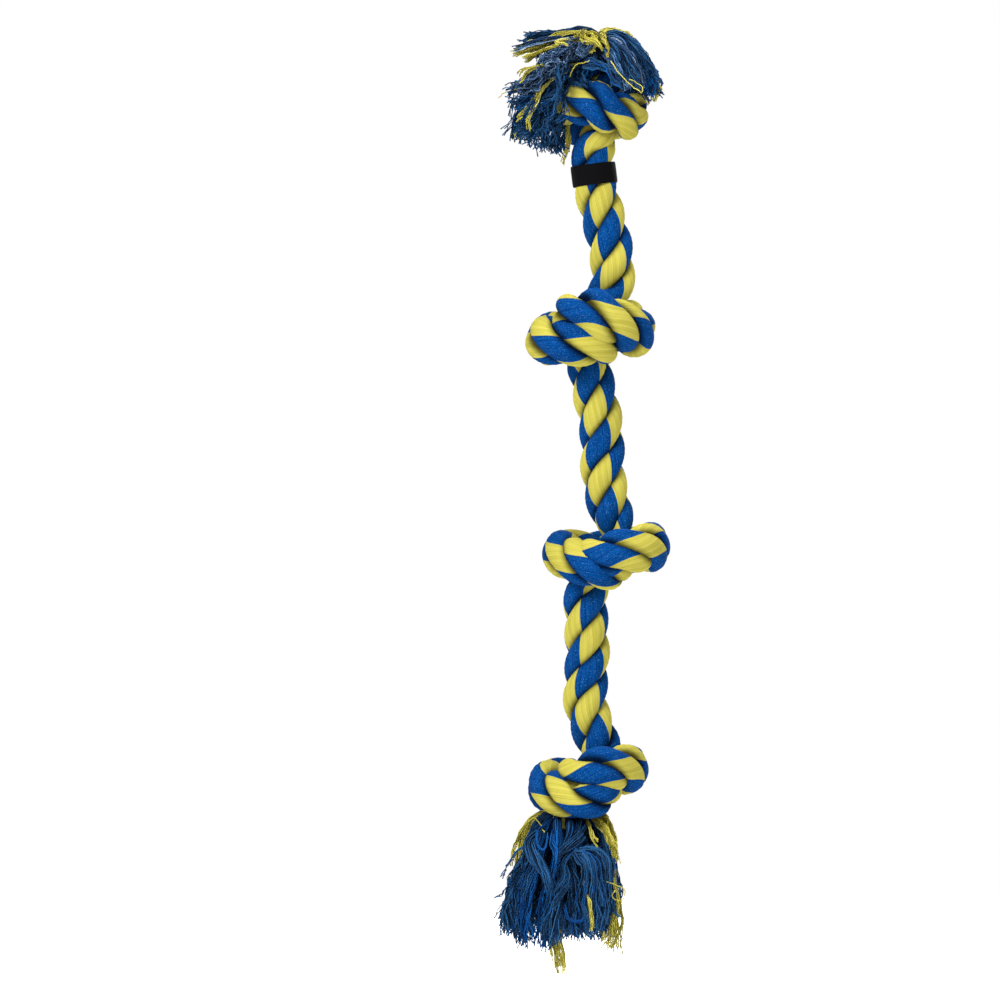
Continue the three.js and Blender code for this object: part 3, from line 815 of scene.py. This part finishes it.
# Locks of the bottom tassel on the side that shows: colour, yarns, radii along the lock in mm, turns of
# twist, wave and fray in mm, and the line that it follows, or one line for each of several such locks
FRONT_HEM_LOCKS = [
    ("blue", 50, (3, 5, 5.5, 5.5, 6), 0.3, 1.2, 2,
     [(-30, -14, -409), (-42, -20, -410), (-51, -24, -418), (-56, -27, -436), (-60, -30, -460),
      (-62, -30, -484), (-61, -27, -503)]),
    ("blue", 55, (3, 4.5, 5.5, 6), 0.3, 1.36, 2.5,
     [(-46, -8, -413), (-55, -12, -424), (-60, -16, -441), (-68, -18, -459), (-74, -16, -478),
      (-76, -15, -491)]),
    ("blue", 50, (3, 4.5, 5.5, 6), -0.3, 1.36, 2.5,
     [(-46, -14, -413), (-53, -22, -426), (-57, -28, -443), (-64, -28, -464), (-70, -24, -487),
      (-71, -23, -502)]),
    ("blue", 55, (3, 4, 5.5, 6, 6), 0.4, 1.36, 2.2,
     [(-45, -16, -413), (-50, -28, -426), (-55, -34, -444), (-60, -36, -466), (-65, -33, -485),
      (-65, -31, -508)]),
    ("bright", 42, (3, 4, 4.5, 4.5, 5), 0.5, 1.19, 2,
     [(-42, -16, -413), (-50, -32, -437), (-54, -38, -457), (-58, -40, -470), (-60, -40, -485),
      (-58, -37, -508)]),
    ("blue", 60, (3, 4, 5, 5, 5, 5.5, 6), 1.6, 0.85, 2,
     [(-42, -16, -413), (-57, -34, -430), (-53, -42, -441), (-45, -44, -453), (-40, -42, -466),
      (-41, -42, -483), (-40, -40, -504)]),
    ("bright", 7, (0.8, 1.1, 1.1, 1, 0.9), 0.4, 0.3, 0.3,
     [(-40, -20, -413), (-47, -40, -418), (-51, -46, -421), (-52, -48, -428), (-50, -48, -433),
      (-47, -48, -435), (-44.5, -47, -433), (-43.5, -46, -427), (-44, -44, -421)]),
    ("bright", 28, (2, 3.2, 3.2, 2.4, 0.6), 0.6, 0.51, 0.3,
     [(-37, -20, -414), (-40, -38, -428), (-37, -46, -438), (-38, -48, -447), (-40, -46, -456)]),
    ("bright", 40, (3.5, 4, 3.5, 4, 5, 5.5), 0.2, 0.68, 2,
     [(-36, -20, -412), (-36, -37, -424), (-37, -42, -437), (-40, -40, -451), (-44, -40, -469),
      (-48, -40, -489), (-51, -38, -508)]),
    ("blue", 75, (3, 5, 5.5, 5.5, 5.5, 5.5, 6, 7), 1.4, 0.85, 2,
     [(-22, -16, -413), (-20, -34, -423), (-27, -43, -433), (-34, -45, -443), (-32, -44, -454),
      (-37, -44, -467), (-40, -43, -483), (-36, -40, -506)]),
    ("blue", 45, (3.5, 4, 4, 4.5, 5, 5.5), 0.3, 1.02, 2,
     [(-28, -20, -412), (-27, -36, -423), (-30, -40, -434), (-28, -40, -446), (-25, -42, -460),
      (-27, -42, -476), (-30, -40, -489), (-27, -38, -500)]),
    ("blue", 50, (3, 4, 4.5, 4.5, 4.5, 5, 5.5, 6), 0.2, 1.02, 2,
     [(-20, -14, -413), (-22, -30, -426), (-20, -40, -436), (-13, -44, -433), (-5, -42, -438),
      (-1, -38, -450), (-2, -36, -466), (0, -32, -490)]),
    ("blue", 50, (3, 4, 4.5, 4.5, 4.5, 5, 5.5, 6), -0.2, 1.02, 2,
     [(-20, -14, -413), (-22, -32, -426), (-21, -42, -437), (-14, -47, -436), (-8, -47, -441),
      (-6, -44, -454), (-5, -42, -470), (-6, -38, -495)]),
    ("blue", 50, (3, 4, 4.5, 4.5, 4.5, 5, 5.5, 6), 0.3, 1.02, 2,
     [(-21, -14, -413), (-24, -34, -427), (-22, -44, -438), (-17, -49, -438), (-13, -50, -446),
      (-11, -47, -459), (-11, -45, -473), (-11, -41, -498)]),
    ("blue", 45, (3, 4, 4.5, 4.5, 4.5, 5, 5.5), 0.4, 1.02, 2,
     [(-22, -14, -413), (-24, -36, -430), (-22, -46, -440), (-18, -49, -446), (-17, -48, -457),
      (-18, -46, -470), (-17, -44, -485), (-16, -42, -500)]),
    ("blue", 50, (3, 4, 4.5, 5, 5.5), 0.3, 1.36, 2.5,
     [(-9, -6, -413), (-2, -12, -424), (2, -15, -440), (3, -16, -459), (4, -16, -477), (4, -14, -493)]),
    ("blue", 45, (3, 4, 4.5, 5, 5.5), -0.3, 1.36, 2.5,
     [(-9, -10, -413), (-4, -22, -427), (0, -28, -443), (1, -30, -463), (1, -28, -483), (2, -26, -495)]),
    ("bright", 10, (1, 1.5, 1.5, 1.2), 0.4, 0.3, 0.5,
     [(-32, -40, -472), (-30, -46, -482), (-25, -49, -486), (-20, -49, -486), (-18, -47, -482)]),
    ("lime", 45, (3, 4, 4, 4), 0.2, 0.68, 1.5,
     [(-34, -2, -407), (-46, -1, -410), (-54, -3, -415), (-60, -2, -423), (-63, 2, -434), (-65, 4, -447),
      (-63, 6, -457)]),
    ("lime", 14, (1.4, 2, 2, 1.2), 0.3, 0.3, 0.6,
     [(-17, -16, -411), (-14, -32, -419), (-11, -40, -426), (-7, -45, -433)]),
    ("lime", 30, (2, 3.4, 3.4, 3), 0.2, 0.68, 0.8,
     [(-12, -12, -411), (-6, -28, -418), (0, -32, -427), (4, -29, -436), (5, -24, -446)],
     [(-4, -6, -411), (0, -13, -418), (3, -13, -427), (5, -9, -437)]),
    ("lime", 38, (2, 3, 3.5, 4, 5.5), 0.3, 1, 2.4,
     [(-9, -10, -417), (0, -22, -444), (4, -27, -463), (6, -27, -477), (5, -26, -495), (3, -24, -511)]),
    ("lime", 8, (0.5, 0.5, 0.7, 2.2, 6.5), 0.3, 0.8, 1.8,
     [(-22, -14, -423), (-17, -46, -463), (-14, -50, -472), (-14, -49, -483), (-17, -47, -495),
      (-17, -45, -505)]),
    ("lime", 90, (2, 3, 4, 4.5, 4.5), 0.3, 0.8, 1.2,
     [(-26, 0, -417), (-32, -10, -451), (-36, -20, -483), (-38, -24, -500), (-37, -25, -513),
      (-35, -24, -529)]),
    ("blue", 4, (0.5, 1.2, 2), 0.2, 1, 1.5,
     [(-56, -20, -430), (-65, -18, -437), (-72, -14, -446), (-76, -10, -456), (-77, -10, -462)]),
    ("blue", 3, (0.5, 0.8, 1.5), 0.2, 0.6, 1,
     [(-65, -20, -456), (-73, -16, -463), (-78, -12, -468), (-83, -10, -472)]),
    ("lime", 1, (0.2, 0.2), 0, 0.5, 0.5,
     [(-53, -30, -412), (-50, -36, -416), (-46, -44, -422), (-43, -46, -426)]),
    ("lime", 1, (0.2, 0.6), 0, 0.6, 0.5,
     [(-9, -42, -456), (-1, -42, -458), (5, -40, -460), (10, -38, -462), (12, -38, -467), (9, -39, -472),
      (4, -40, -472), (2, -41, -467), (5, -41, -463)]),
]


def hem_locks(rng):
    """The locks round the sides and the back of the bottom tassel, and those inside it: each leaves the
    rope, swells over the shoulder and hangs to the hem, leaning with the whole tassel, on its own bearing.
    Those on the left end a little higher."""
    round_it = np.linspace(-12, 192, 14)
    inside = np.linspace(7, 337, 16)
    lean = KNOTS["knot_4"]["leave"] + np.array([0, -1, -4, -9, -13])
    locks = []
    for number, bearing in enumerate(np.radians(np.r_[round_it, inside])):
        spread = 1.0 if number < len(round_it) else (0.65, 0.35)[number % 2]
        out = np.array([9, 20, 27, 31.5, 34 + 2 * rng.random()]) * spread
        tip = -498 + 5 * max(0, -np.cos(bearing)) - 8 * rng.random()
        levels = np.array([-408, -427, -448, -472, tip])
        sway = bearing + np.r_[0, 0.06 * rng.standard_normal(4)]
        guide = np.stack([lean + out * np.cos(sway), out * np.sin(sway), levels], axis=1)
        colour = "lime" if number in (2, 7, 11) else "bright" if number % 5 == 0 else "blue"
        locks.append((colour, 60, (3, 5, 6, 6.5, 7), 0.5 * rng.standard_normal(), 1.3, 2.5, guide))
    return locks


# Locks of the top tassel on the side that shows; the paler blue yarns among them carry painted highlight
FRONT_CROWN_LOCKS = [
    ("blue", 50, (3, 3.5, 3.5, 3.5, 4), 0.2, 0.6, 1.4,
     [(-7, -3, 129), (-6, -6, 145), (-13, -8, 152), (-27, -10, 152), (-46, -12, 150), (-62, -12, 148)]),
    ("lime", 44, (2.5, 3.5, 3.5, 4), 0.3, 0.6, 1.4,
     [(-8, -6, 129), (-9, -12, 143), (-19, -16, 149), (-35, -20, 148), (-50, -22, 141), (-70, -22, 133)]),
    ("worn", 24, (2, 2.2, 2.2, 2.4), 0.2, 0.5, 0.8,
     [(-9, -6, 129), (-12, -12, 142), (-27, -18, 147), (-46, -25, 144), (-72, -26, 136)]),
    ("lime", 20, (2, 2.5, 2.5, 3), 0.2, 0.6, 1,
     [(-9, -8, 129), (-13, -16, 140), (-27, -22, 143), (-43, -27, 139), (-57, -29, 133), (-63, -29, 129)]),
    ("lime", 16, (1.5, 2, 2, 2), 0.4, 0.4, 0.6,
     [(-9, -10, 129), (-17, -26, 142), (-32, -34, 144), (-39, -37, 142), (-31, -40, 139), (-28, -41, 133)]),
    ("lime", 20, (2.5, 2.6, 2.6, 2.6, 2.2, 1.2), 0.5, 1, 0.8,
     [(-6, -8, 129), (-5, -18, 143), (-9, -26, 149), (-16, -34, 149), (-19, -39, 145), (-12, -42, 142),
      (-5, -44, 135), (-3, -44, 129)]),
    ("worn", 22, (2, 3, 3, 3.5), 0.5, 1.8, 2,
     [(-7, -8, 128), (-11, -26, 140), (-17, -38, 140), (-20, -44, 134), (-14, -46, 129)]),
    ("lime", 12, (2, 2.4, 2.6, 3.2), 0.5, 1.6, 1.6,
     [(-7, -8, 129), (-9, -22, 145), (-17, -28, 150), (-24, -34, 149), (-23, -39, 143)]),
    ("lime", 15, (2, 2.4, 2.4, 2.2), 0.3, 1, 0.8,
     [(-6, -6, 129), (-3, -14, 147), (-3, -21, 150), (-2, -34, 142), (-3, -40, 130)]),
    ("lime", 9, (2, 2.6, 3, 3.4), 0.6, 2, 2.2,
     [(-6, -8, 129), (-9, -22, 146), (-14, -33, 147), (-12, -40, 141), (-9, -42, 136)]),
    ("blue", 70, (3, 4.5, 6, 6.5, 7.5), 0.1, 0.6, 2.2,
     [(-5, -2, 129), (-3, -6, 145), (5, -10, 148), (17, -14, 140), (25, -16, 128), (30, -15, 116)]),
    ("worn", 64, (3, 4.5, 5.5, 6, 6.5), -0.1, 0.7, 2.2,
     [(-5, -5, 129), (-2, -12, 144), (5, -20, 144), (14, -25, 134), (21, -26, 121), (24, -24, 108)]),
    ("blue", 60, (3, 4, 5, 6, 6.5), 0.1, 0.7, 2.2,
     [(-6, -8, 129), (-2, -18, 141), (3, -28, 140), (10, -34, 129), (15, -36, 116), (18, -35, 105)]),
    ("worn", 36, (3, 3.5, 4, 4.5), 0.1, 0.8, 1.8,
     [(-6, -8, 128), (-4, -22, 136), (-1, -33, 134), (5, -40, 124), (10, -42, 114), (12, -42, 106)]),
    ("blue", 8, (1, 2, 2.5, 3), 0.1, 0.8, 1.5,
     [(10, -14, 143), (24, -17, 132), (34, -17, 120), (40, -15, 107)]),
    ("blue", 6, (1, 2, 2.5), 0.1, 0.8, 1.5,
     [(17, -14, 140), (27, -13, 130), (33, -10, 126), (37, -8, 124)]),
    ("blue", 30, (2, 3, 3.5, 4, 3.5), 0.2, 1.1, 1.8,
     [(-6, -12, 129), (-17, -35, 127), (-9, -43, 127), (0, -47, 122), (7, -48, 114), (12, -47, 106)]),
    ("blue", 34, (2, 3.5, 4, 4), 0.2, 0.5, 1,
     [(-7, -6, 128), (-17, -14, 129), (-27, -20, 124), (-26, -24, 114), (-20, -26, 109)],
     [(-7, -8, 128), (-13, -15, 128), (-20, -22, 122), (-17, -25, 114), (-12, -26, 111)]),
    ("worn", 60, (3, 5, 6, 7), 0.3, 2.2, 3,
     [(-8, -8, 129), (-20, -26, 139), (-34, -38, 135), (-41, -44, 128), (-45, -47, 122)],
     [(-8, -8, 129), (-22, -24, 136), (-38, -36, 130), (-50, -42, 122), (-55, -44, 117)]),
    ("blue", 45, (3, 4, 4, 3.5, 3), 0.3, 0.9, 1.5,
     [(-9, -6, 128), (-26, -24, 133), (-34, -38, 125), (-36, -43, 116), (-36, -45, 106), (-39, -45, 96)]),
    ("blue", 74, (3, 5, 6, 6.5), 0.3, 2.3, 3.6,
     [(-9, -4, 128), (-32, -14, 130), (-53, -22, 117), (-66, -26, 108), (-75, -26, 102)]),
    ("blue", 74, (3, 5, 6, 6.5), -0.3, 2.3, 3.6,
     [(-9, -4, 128), (-32, -12, 126), (-52, -20, 108), (-64, -24, 95), (-72, -24, 89)]),
    ("blue", 74, (3, 5, 6, 6.5), 0.3, 2.3, 3.6,
     [(-9, -2, 127), (-31, -10, 122), (-48, -18, 102), (-59, -22, 84), (-67, -22, 75)],
     [(-9, 0, 127), (-29, -6, 119), (-42, -14, 96), (-51, -18, 76), (-53, -18, 66)]),
    ("blue", 74, (3, 5, 6, 6.5), -0.3, 2.3, 3.6,
     [(-10, 2, 127), (-26, -2, 116), (-36, -8, 91), (-41, -14, 73), (-43, -14, 63)]),
    ("blue", 62, (3, 5, 5.5, 6), 0.3, 1.6, 3,
     [(-10, 4, 126), (-23, 4, 113), (-30, 0, 89), (-33, -6, 73), (-32, -8, 63)]),
    ("blue", 74, (3, 5, 6, 6.5), 0.3, 2.3, 3.6,
     [(-9, -6, 128), (-27, -20, 126), (-41, -30, 110), (-51, -34, 96), (-58, -34, 84)]),
    ("blue", 66, (3, 5, 6, 6.5), 0.3, 2.3, 3.6,
     [(-9, -4, 127), (-26, -16, 120), (-37, -26, 102), (-44, -30, 84), (-46, -30, 71)]),
    ("worn", 40, (3, 4.5, 5, 5.5), 0.3, 1.8, 3,
     [(-9, -6, 128), (-27, -22, 130), (-46, -34, 120), (-58, -38, 112), (-68, -38, 103)]),
    ("lime", 14, (1.5, 2.2, 2.6), 0.2, 0.8, 1.2,
     [(-9, -8, 128), (-42, -36, 126), (-55, -43, 124), (-62, -43, 120), (-66, -43, 111)]),
    ("lime", 12, (1.2, 2, 2.4), 0.2, 0.8, 1.2,
     [(-9, -6, 128), (-42, -32, 116), (-56, -41, 93), (-58, -41, 83), (-60, -40, 74)]),
    ("lime", 10, (1, 1.8, 2.2), 0.2, 0.8, 1.2,
     [(-9, -4, 128), (-49, -28, 109), (-66, -33, 86), (-69, -33, 74)]),
    ("lime", 14, (1.5, 2, 2.6), 0.2, 0.8, 1.2,
     [(-10, 6, 126), (-24, 4, 109), (-30, -10, 71), (-31, -13, 63), (-33, -13, 55)]),
    ("lime", 1, (0.2, 0.2), 0, 0.5, 0.5,
     [(-56, -34, 113), (-72, -30, 107), (-81, -28, 103), (-85, -26, 101)]),
    ("lime", 1, (0.2, 0.2), 0, 0.5, 0.3,
     [(-28, -40, 117), (-25, -46, 123), (-19, -49, 127), (-12, -49, 129)]),
    ("lime", 1, (0.2, 0.2), 0, 0.6, 0.3,
     [(1, -49, 128), (6, -51, 121), (13, -51, 113), (23, -50, 105), (23, -50, 109), (18, -50, 113),
      (10, -49, 117)]),
    ("lime", 26, (2, 2.6, 2.6, 2.6, 2.2), 0.3, 0.7, 1.2,
     [(-6, -2, 129), (-9, -5, 143), (-6, -6, 151), (2, -6, 153), (10, -6, 150), (17, -7, 144)]),
]


def crown_locks(rng):
    """The locks at the back and the right of the top tassel, and its heart: each rises from the rope,
    arches over and falls on its own bearing, as far out and as low as that side of the tassel reaches. At
    the back they have the fullest shoulder. The last six fill it: four lie flat under the swept top on the
    left, and two lie at the back."""
    middle = KNOTS["knot_1"]["enter"]
    round_it = np.linspace(-14, 190, 15)
    inside = np.linspace(20, 320, 8)
    locks = []
    for number, bearing in enumerate(np.radians(np.r_[round_it, inside])):
        inner = number >= len(round_it)
        right, back, left, front = (max(side, 0) ** 2 for side in
                                    (np.cos(bearing), np.sin(bearing), -np.cos(bearing), -np.sin(bearing)))
        reach = (right * 38 + back * 54 + left * 62 + front * 34) * (0.6 if inner else 1)
        drop = (right * 22 + back * 28 + left * 55 + front * 2) * (0.7 if inner else 1)
        tip = 127 - drop - 5 * rng.random()
        out = np.array([5, 8, (0.42 + 0.06 * back) * reach, (0.8 + 0.1 * back) * reach, reach])
        peak = 144 + 4 * back - 5 * inner - 3 * rng.random()
        levels = np.array([116, 134, peak, (140 + tip) / 2 + 4 + 14 * back, tip])
        sway = bearing + np.r_[0, 0, 0.08 * rng.standard_normal(3)]
        guide = np.stack([middle + out * np.cos(sway), out * np.sin(sway), levels], axis=1)
        colour = "lime" if number in (3, 9, 12) else "bright" if number % 5 == 0 else "blue"
        locks.append((colour, 62, (3, 5, 6.5, 7.5, 8), 0.3 * rng.standard_normal(), 1.2, 3.0, guide))
    flat = np.array([5, 9, 26, 44, 56]), np.array([116, 135, 145, 145, 138])
    full = np.array([5, 10, 27, 44, 50]), np.array([116, 134, 146, 137, 103])
    for bearing, (out, levels) in zip(np.radians([132, 148, 164, 180, 70, 80]), [flat] * 4 + [full] * 2):
        guide = np.stack([middle + out * np.cos(bearing), out * np.sin(bearing), levels], axis=1)
        locks.append(("blue", 60, (3, 4.5, 5, 5, 5.5), 0.3, 1.2, 2.5, guide))
    return locks


def make_tassel(node_name, bodies, bend, locks, seed):
    """A tassel's yarns, in pieces of one colour that each stay small enough, for the node they replace."""
    rng = np.random.default_rng(seed)
    combed = {colour: [] for colour in YARN}
    for colour, count, radii, twist, wave, fray, *guides in locks:
        for guide in guides:
            combed[colour].append(lock_lines(rng, np.array(guide, float), count, radii, twist, wave, fray))
    for colour, groups in combed.items():
        if not groups:
            continue
        lines, openness = (np.concatenate(parts) for parts in zip(*groups))
        pieces = int(np.ceil(len(lines) / MOST_YARNS))
        for number, some in enumerate(np.array_split(np.arange(len(lines)), pieces), start=1):
            name = f"{node_name}_{colour}_yarns_{number}"
            attach(yarn_mesh(name, lines[some], openness[some], YARN[colour]), bodies, bend, node_name)


HEM_PLACES_SEED, CROWN_PLACES_SEED = 5, 7
HEM_YARN_SEED, CROWN_YARN_SEED = 11, 12
hem = FRONT_HEM_LOCKS + hem_locks(np.random.default_rng(HEM_PLACES_SEED))
crown = FRONT_CROWN_LOCKS + crown_locks(np.random.default_rng(CROWN_PLACES_SEED))
make_tassel("bottom_tassel", ("knot_4", "bottom_tassel"), (-418.0, -450.0), hem, HEM_YARN_SEED)
make_tassel("top_tassel", ("top_tassel", "knot_1"), (152.0, 115.2), crown, CROWN_YARN_SEED)
